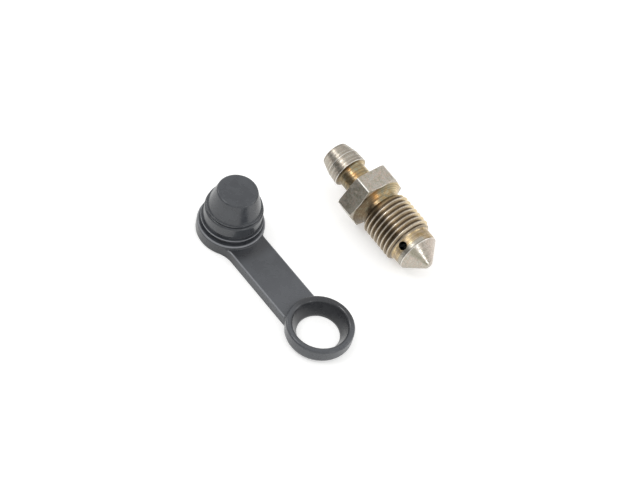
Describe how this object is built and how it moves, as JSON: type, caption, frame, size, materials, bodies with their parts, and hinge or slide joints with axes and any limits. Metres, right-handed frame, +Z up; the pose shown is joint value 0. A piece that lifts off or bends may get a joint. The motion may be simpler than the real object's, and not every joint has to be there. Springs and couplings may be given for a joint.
{
  "type": "bleeder screw with dust cap",
  "caption": "Hexagon bleeder screw with a barbed hose nipple, fine thread, cross hole and seat cone, lying beside its rubber dust cap, whose strap ends in a retaining ring.",
  "frame": {"origin": "on the surface that both pieces lie on, under the middle of their common box", "axes": "+X along the screw from its nipple to its nose, +Y from the cap towards the screw, +Z up"},
  "size_m": [0.0406, 0.0376, 0.0118],
  "materials": {
    "plated_steel": "turned steel, zinc plated with a thin yellow passivation",
    "black_rubber": "moulded, satin"
  },
  "bodies": {
    "root": {"bleeder_screw": "plated_steel", "dust_cap": "black_rubber"}
  },
  "joints": []
}
